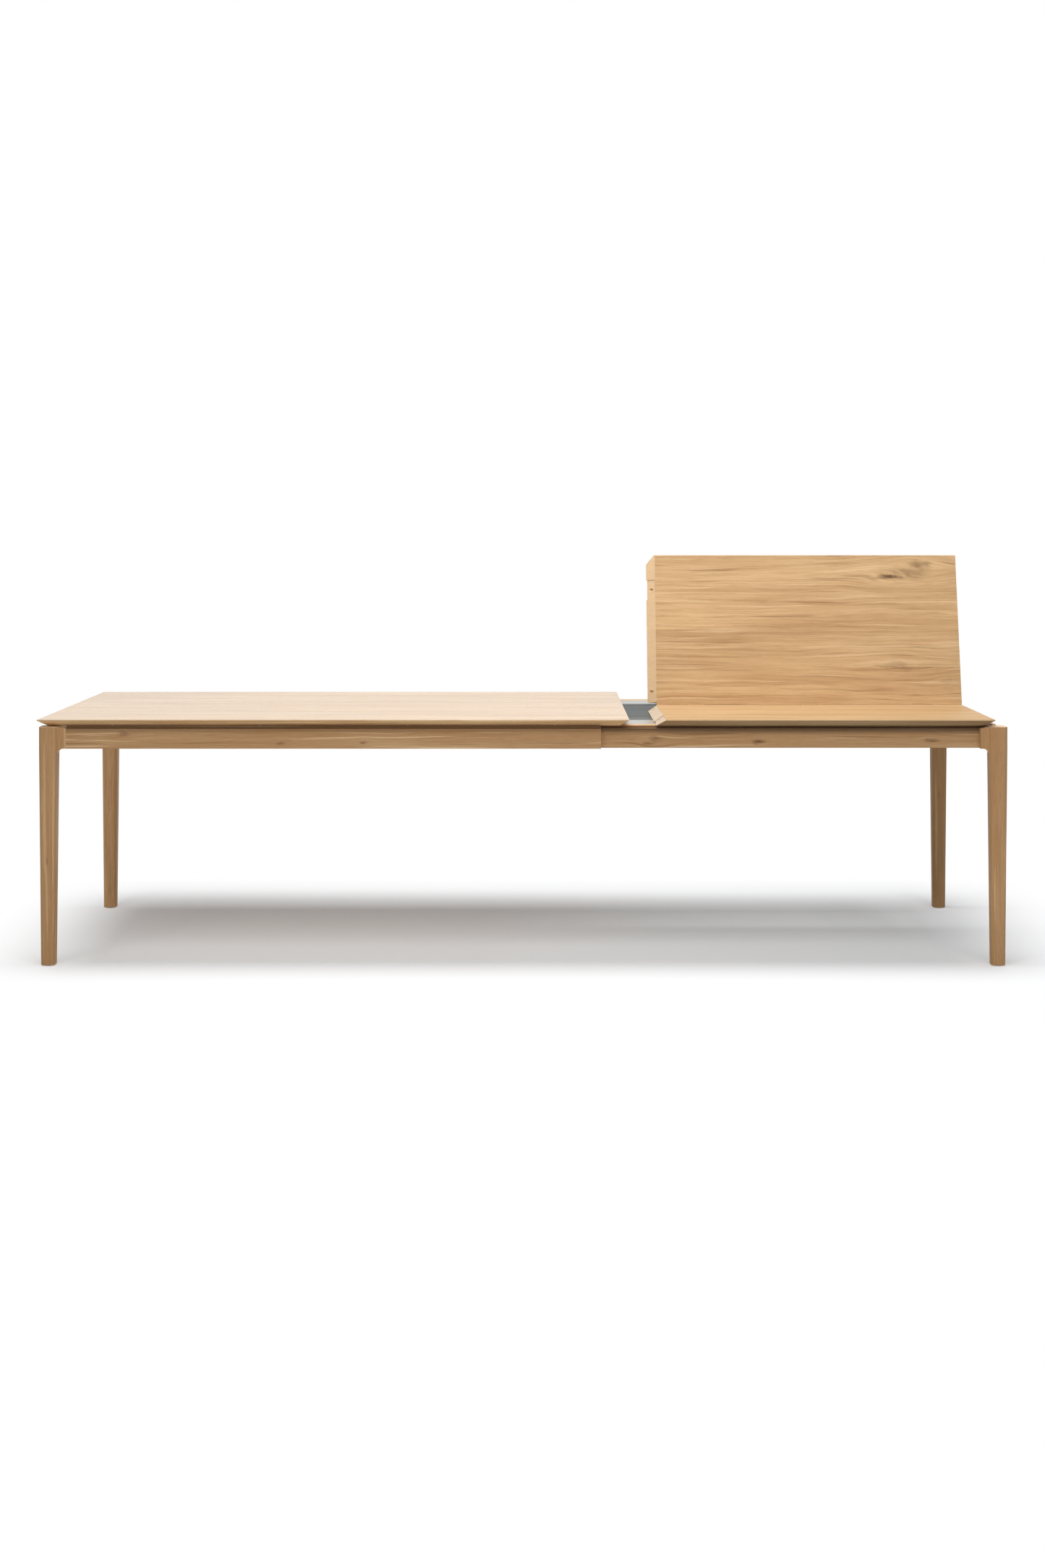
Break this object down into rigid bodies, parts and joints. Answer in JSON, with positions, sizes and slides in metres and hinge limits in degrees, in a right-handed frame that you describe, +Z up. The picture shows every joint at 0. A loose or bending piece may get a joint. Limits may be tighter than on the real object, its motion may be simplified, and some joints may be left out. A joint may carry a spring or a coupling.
{
  "type": "extendable dining table",
  "caption": "Extendable oak dining table with thin bevelled top, tapered legs, telescoping rails and a folding leaf stored on a lift tray under the top",
  "frame": {"origin": "on the floor, under the middle of the table as it stands drawn out", "axes": "+X along the table from the main top to the leaf, +Y from the front edge to the back, +Z up"},
  "size_m": [2.95, 1, 1.2372],
  "materials": {
    "oak": "oiled, open-grained",
    "beech": "planed, unfinished",
    "aluminium": "extruded, anodised",
    "grey_sheet": "dark grey coated",
    "steel": "bright rolled",
    "zinc": "zinc plated",
    "nylon": "moulded",
    "felt": "pressed felt",
    "brass": "satin"
  },
  "bodies": {
    "main_frame": {"main_top": "oak", "stiffener_bars": "steel", "stiffener_screws": "zinc", "alignment_pins": "zinc", "leg_front_left": "oak", "leg_back_left": "oak", "rail_front_left": "oak", "rail_back_left": "oak", "end_rail_left": "oak", "rail_dowels_left": "beech", "corner_plates_left": "steel", "leg_bolts_left": "zinc", "leg_nuts_left": "zinc", "foot_glides_left": "nylon", "top_dowels": "beech", "top_clips": "steel", "top_screws": "zinc", "slide_runner_front": "steel", "slide_runner_back": "steel", "slide_shoes": "nylon"},
    "sliding_frame": {"leg_front_right": "oak", "leg_back_right": "oak", "rail_front_right": "oak", "rail_back_right": "oak", "end_rail_right": "oak", "rail_dowels_right": "beech", "corner_plates_right": "steel", "leg_bolts_right": "zinc", "leg_nuts_right": "zinc", "foot_glides_right": "nylon", "slide_batten_front": "beech", "slide_batten_back": "beech", "slide_channel_front": "aluminium", "slide_channel_back": "aluminium", "channel_stops": "nylon", "tie_bar": "steel", "tray_hanger_left": "steel", "tray_hanger_right": "steel", "channel_bolts": "zinc", "lift_ears": "steel", "lift_stops": "nylon", "rail_pads": "felt"},
    "left_lift_arms": {"lift_arms_left": "steel", "lift_shafts_left": "steel"},
    "right_lift_arms": {"lift_arms_right": "steel", "lift_shafts_right": "steel"},
    "lift_tray": {"storage_tray": "grey_sheet", "tray_edging": "aluminium", "tray_ears": "steel", "tray_pads": "felt"},
    "leaf_front": {"leaf_front_half": "oak", "hinge_plates_front": "brass", "hinge_screws_front": "brass", "hinge_pins": "brass", "leaf_guide_pins": "nylon"},
    "leaf_back": {"leaf_back_half": "oak", "hinge_plates_back": "brass", "hinge_screws_back": "brass"}
  },
  "joints": [
    {"name": "frame_extension", "type": "slide", "parent": "main_frame", "child": "sliding_frame", "axis": [1, 0, 0], "range_m": [-0.154, 0]},
    {"name": "leaf_slide", "type": "slide", "parent": "sliding_frame", "child": "leaf_front", "axis": [1, 0, 0], "range_m": [0, 0.0435]},
    {"name": "leaf_fold", "type": "hinge", "parent": "leaf_front", "child": "leaf_back", "pos_m": [0.936, 0, 0.75025], "axis": [1, 0, 0], "range_deg": [-77, 103]},
    {"name": "tray_lift", "type": "hinge", "parent": "sliding_frame", "child": "left_lift_arms", "pos_m": [0.48, 0, 0.665], "axis": [0, 1, 0], "range_deg": [-88, 0]},
    {"name": "tray_level", "type": "hinge", "parent": "left_lift_arms", "child": "lift_tray", "pos_m": [0.48349, 0, 0.71488], "axis": [0, 1, 0], "range_deg": [0, 88]},
    {"name": "right_arms_follow", "type": "hinge", "parent": "sliding_frame", "child": "right_lift_arms", "pos_m": [1.2, 0, 0.665], "axis": [0, 1, 0], "range_deg": [-88, 0]}
  ],
  "couplings": [
    {"joint": "leaf_slide", "follows": "frame_extension", "ratio": -0.28247},
    {"joint": "tray_level", "follows": "tray_lift", "ratio": -1},
    {"joint": "right_arms_follow", "follows": "tray_lift", "ratio": 1}
  ]
}
